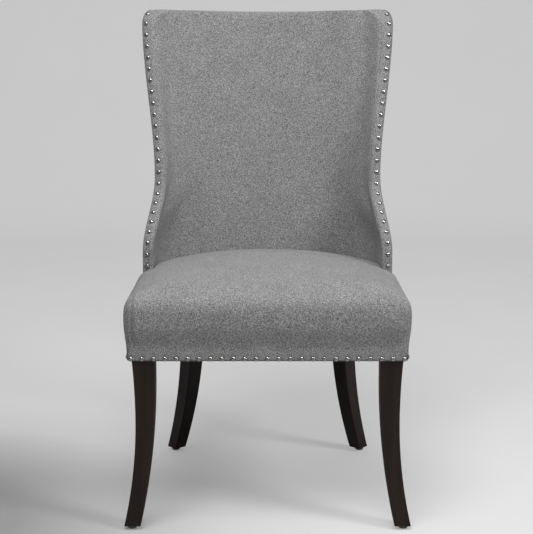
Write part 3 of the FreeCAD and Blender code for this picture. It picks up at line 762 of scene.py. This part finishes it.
seat_form = BVHTree.FromPolygons(points, faces)
remesh = seat.modifiers.new("even", "REMESH")
remesh.mode = "VOXEL"
remesh.voxel_size = voxel
apply_modifiers(seat)
for v in seat.data.vertices:
    v.co = seat_form.find_nearest(v.co)[0]


def held(co):
    """Where the cover is fixed: nail strip, underside and behind the wings."""
    x, y, z = co.x * 1000, (co.y - front_face) * 1000, co.z * 1000
    low = ease((z - seam_height) / hold_run)
    deep = ease((rear_hold - y) / hold_run)
    rear = 1.0
    if abs(x) > wing_hold_x:
        wing = wing_front + (abs(x) - waist_half) * turn - wing_hold_gap
        rear = ease((wing - y) / wing_hold_run)
    return 1 - low * rear * deep


def fill_out(piece, shrink, pressure, cap):
    """Let the cover settle under pressure, held at its fixed edges."""
    mesh = piece.data
    start = [v.co.copy() for v in mesh.vertices]
    facing = [v.normal.copy() for v in mesh.vertices]
    grip = piece.vertex_groups.new(name="held")
    for v, co in zip(mesh.vertices, start):
        hold = held(co)
        grip.add([v.index], hold, "REPLACE")
        v.co = co - v.normal * shrink * (1 - hold)
    sim = piece.modifiers.new("pressure", "CLOTH")
    sim.settings.quality = 5
    sim.settings.mass = 0.25
    sim.settings.tension_stiffness = 18
    sim.settings.compression_stiffness = 18
    sim.settings.shear_stiffness = 8
    sim.settings.bending_stiffness = 0.6
    sim.settings.use_pressure = True
    sim.settings.uniform_pressure_force = pressure
    sim.settings.effector_weights.gravity = 0
    sim.settings.vertex_group_mass = "held"
    sim.point_cache.frame_start = 1
    sim.point_cache.frame_end = 20
    scene = bpy.context.scene
    for number in range(1, 21):
        scene.frame_set(number)
    apply_modifiers(piece)
    scene.frame_set(1)
    for v, co, normal in zip(piece.data.vertices, start, facing):
        move = v.co - co
        inward = min(0.0, move.dot(normal))
        move = move - normal * inward
        v.co = co + move * min(1.0, cap / max(move.length, 1e-6))


fill_out(seat, 0.0015, 6.0, 0.003)
subdivide = seat.modifiers.new("finer", "SUBSURF")
subdivide.levels = 1
subdivide.render_levels = 1
apply_modifiers(seat)
for v in seat.data.vertices:
    v.co = v.co.lerp(seat_form.find_nearest(v.co)[0], held(v.co))


def finish_seat(piece):
    """Corner pleats, the pull of each nail and small unevenness in the cover."""
    spots = np.array([[p.x, p.y, p.z] for p, _ in seat_nail_places]) * 1000
    mesh = piece.data
    normals = [v.normal.copy() for v in mesh.vertices]
    for v, normal in zip(mesh.vertices, normals):
        x, y, z = v.co.x * 1000, (v.co.y - front_face) * 1000, v.co.z * 1000
        shift = 0.5 * ripple((x, y, z), 60, 21) + 0.2 * ripple((x, y, z), 22, 23)
        if z < nail_reach:
            near = np.min(np.linalg.norm(spots - np.array(v.co) * 1000, axis=1))
            shift += nail_swell * bell(near - 12, 6) - nail_pull * bell(near, 6)
        corner = abs(x) - pleat_x
        if y < pleat_reach and pleat_low < z < pleat_high:
            run = ease((z - pleat_low) / 30) * ease((pleat_high - z) / 24)
            shift += run * (pleat_ridge * bell(corner + 7, 5) - pleat_depth * bell(corner, 2.6))
        if z > seat_bottom + 1.5:
            v.co = v.co + normal * (shift / 1000)


finish_seat(seat)


# Webbing, woven under and over
def webbing(name, centres, low, high, level, lengthwise):
    points = []
    faces = []
    for k, centre in enumerate(centres):
        start = len(points)
        rows = 90
        for i in range(rows + 1):
            along = blend(low, high, i / rows)
            sag = -strap_sag * (1 - (2 * i / rows - 1) ** 2)
            for side in spread(-strap_half, strap_half, 8):
                x, y = (centre + side, along) if lengthwise else (along, centre + side)
                turns = (along - crown_middle * lengthwise) / strap_pitch + k
                weave = 0.5 * math.sin(math.pi * turns)
                points.append(place(x, y, level + sag + weave))
        faces += grid_faces(rows + 1, 9, False, start)
    return add_mesh(name, points, faces, tape)


straps = [strap_pitch * (k - 1.5) for k in range(4)]
long_tape = webbing("seat_webbing_long", straps, 8, 514, long_level, True)
cross_straps = [crown_middle + s for s in straps]
cross_tape = webbing("seat_webbing_cross", cross_straps, -240, 240, cross_level, False)

# Dust cover, drawn tight under the seat with a slight sag
cover_rows = []
for i in range(61):
    y = blend(cover_margin, frame_depth - cover_margin, i / 60)
    half = blend(cover_front, cover_rear, i / 60)
    corner = max(0.0, y - (frame_depth - cover_margin - low_corner))
    half -= low_corner - math.sqrt(max(0.0, low_corner ** 2 - corner ** 2))
    row = []
    for s in spread(-1, 1, 60):
        inner = (1 - s ** 2) * (1 - (2 * i / 60 - 1) ** 2)
        pucker = 0.5 * ripple((s * half, y, 0), 40, 31) * (1 - inner)
        row.append((s * half, y, seat_bottom - 0.5 - cover_sag * inner ** 0.7 + min(0.0, pucker)))
    cover_rows.append(row)
dust_sheet = grid_piece("under_cover", in_frame(cover_rows), felt)

# What each piece stands for
shown = {
    seat: ("seat_cover", "seat_wadding", "seat_foam"),
    inside_back: ("inside_back_cover", "back_foam"),
    outside_back: ("outside_back_cover", "back_wadding"),
    right_band: ("right_wing_band",),
    left_band: ("left_wing_band",),
    seat_domes: ("seat_nails",),
    right_domes: ("right_wing_nails",),
    left_domes: ("left_wing_nails",),
    long_tape: ("long_webbing",),
    cross_tape: ("cross_webbing",),
    dust_sheet: ("dust_cover",),
}
for piece, stood_for in shown.items():
    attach(piece, "root")
    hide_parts(*stood_for)

# Finishes of the pieces that stay as they are
finishes = {}
for name in ("front_right_leg", "front_left_leg", "rear_right_leg", "rear_left_leg"):
    finishes[name] = leg_wood
for name in ("front_rail", "rear_rail", "rear_right_brace", "rear_left_brace", "rail_dowels"):
    finishes[name] = rail_wood
for name in ("right_rail", "left_rail", "front_right_block", "front_left_block"):
    finishes[name] = side_wood
for name in ("glide_pins", "block_screws", "leg_bolts", "leg_washers", "leg_nuts", "shell_screws"):
    finishes[name] = steel
finishes["foot_glides"] = plastic
finishes["back_shell"] = plywood
for name, material in finishes.items():
    nodes[name].data.materials.clear()
    nodes[name].data.materials.append(material)

# Studio: pale sweep with painted shade on the floor to the left of the chair, soft key from the upper
# right, broad front lamp, weak light from above
studio, tree, shader = new_material("studio_paper", 0.8)
paper = texture(tree, "Noise", 3, Detail=3.0)
grain = ramp(tree, paper.outputs["Fac"], [(0.3, grey(0.96)), (0.7, grey(1.0))])
shader.inputs["Specular IOR Level"].default_value = 0.1
# Painted shade: a round patch on the floor to the left of the chair, where the paper's colour is darker
# and its camera-only glow weaker
coords = tree.nodes.new("ShaderNodeTexCoord")
mapping = tree.nodes.new("ShaderNodeMapping")
mapping.inputs["Location"].default_value = (0.85, 0.3, 0.0)
mapping.inputs["Scale"].default_value = (0.9, 1.1, 1.0)
painted_shade_patch = tree.nodes.new("ShaderNodeTexGradient")
painted_shade_patch.gradient_type = "SPHERICAL"
tree.links.new(coords.outputs["Object"], mapping.inputs["Vector"])
tree.links.new(mapping.outputs["Vector"], painted_shade_patch.inputs["Vector"])
glow = tree.nodes.new("ShaderNodeEmission")
# Paper colour, darker inside the painted shade patch on the left of the floor
tone = ramp(tree, painted_shade_patch.outputs["Color"], [(0.0, grey(0.40)), (0.22, grey(0.385)), (0.6, grey(0.27))])
tree.links.new(mixed(tree, "MULTIPLY", 1.0, tone, grain), shader.inputs["Base Color"])
# Camera-only glow paling the paper, weaker inside the painted shade patch; the far ramp adds more glow
# towards the wall
camera_glow_with_painted_shade = ramp(tree, painted_shade_patch.outputs["Color"], [(0.0, grey(0.32)), (0.22, grey(0.27)), (0.6, grey(0.03))])
turned = tree.nodes.new("ShaderNodeMapping")
turned.inputs["Rotation"].default_value = (0.0, 0.0, -math.pi / 2)
turned.inputs["Scale"].default_value = (0.25, 0.25, 0.25)
depth = tree.nodes.new("ShaderNodeTexGradient")
tree.links.new(coords.outputs["Object"], turned.inputs["Vector"])
tree.links.new(turned.outputs["Vector"], depth.inputs["Vector"])
far = ramp(tree, depth.outputs["Color"], [(0.12, grey(0.0)), (0.9, grey(0.09))])
tree.links.new(mixed(tree, "ADD", 1.0, camera_glow_with_painted_shade, far), glow.inputs["Color"])
seen_by = tree.nodes.new("ShaderNodeLightPath")
tree.links.new(seen_by.outputs["Is Camera Ray"], glow.inputs["Strength"])
both = tree.nodes.new("ShaderNodeAddShader")
tree.links.new(shader.outputs["BSDF"], both.inputs[0])
tree.links.new(glow.outputs["Emission"], both.inputs[1])
tree.links.new(both.outputs["Shader"], tree.nodes["Material Output"].inputs["Surface"])
sweep = []
for y in spread(floor_front, sweep_start, 50):
    sweep.append((y, 0.0))
for a in spread(0, math.pi / 2, 24)[1:]:
    sweep.append((sweep_start + sweep_radius * math.sin(a), sweep_radius * (1 - math.cos(a))))
for z in spread(sweep_radius, wall_top, 20)[1:]:
    sweep.append((sweep_start + sweep_radius, z))
paper_rows = [[Vector((x, y, z)) for x in spread(-floor_half, floor_half, 24)] for y, z in sweep]
floor = grid_piece("studio_floor", paper_rows, studio)


def lamp(name, position, target, size, power):
    light = bpy.data.lights.new(name, "AREA")
    light.shape = "DISK"
    light.size = size
    light.energy = power
    holder = bpy.data.objects.new(name, light)
    holder.location = position
    way = Vector(target) - Vector(position)
    holder.rotation_euler = way.to_track_quat("-Z", "Y").to_euler()
    bpy.context.scene.collection.objects.link(holder)


lamp("key", (2.3, -1.7, 2.4), (0, 0, 0.45), 1.0, 58)
lamp("front", (-0.3, -1.4, 2.95), (0, 0.1, 0.8), 1.8, 76)
lamp("overhead", (0.3, 0.5, 3.2), (0, 0, 0.4), 2.0, 8)
world = bpy.data.worlds.new("studio")
world.use_nodes = True
tree = world.node_tree
coords = tree.nodes.new("ShaderNodeTexCoord")
mapping = tree.nodes.new("ShaderNodeMapping")
mapping.inputs["Location"].default_value = (0.5, 0.0, 0.0)
mapping.inputs["Rotation"].default_value = (0.0, 0.0, -math.pi / 2)
mapping.inputs["Scale"].default_value = (0.5, 0.5, 0.5)
depth = tree.nodes.new("ShaderNodeTexGradient")
tree.links.new(coords.outputs["Generated"], mapping.inputs["Vector"])
tree.links.new(mapping.outputs["Vector"], depth.inputs["Vector"])
sky = ramp(tree, depth.outputs["Fac"], [(0.1, grey(0.35)), (0.6, grey(1.0))])
tree.links.new(sky, tree.nodes["Background"].inputs["Color"])
tree.nodes["Background"].inputs["Strength"].default_value = 0.33

# Camera at the photograph's angle
scene = bpy.context.scene
scene.world = world
scene.view_settings.view_transform = "Standard"
lens = bpy.data.cameras.new("camera")
lens.sensor_fit = "HORIZONTAL"
lens.sensor_width = 36.0
lens.lens = 94.56
lens.shift_x = -0.002
camera = bpy.data.objects.new("camera", lens)
camera.location = (0.0, -2.883, 0.990)
camera.rotation_euler = (math.radians(79.7), 0.0, 0.0)
scene.collection.objects.link(camera)
scene.camera = camera
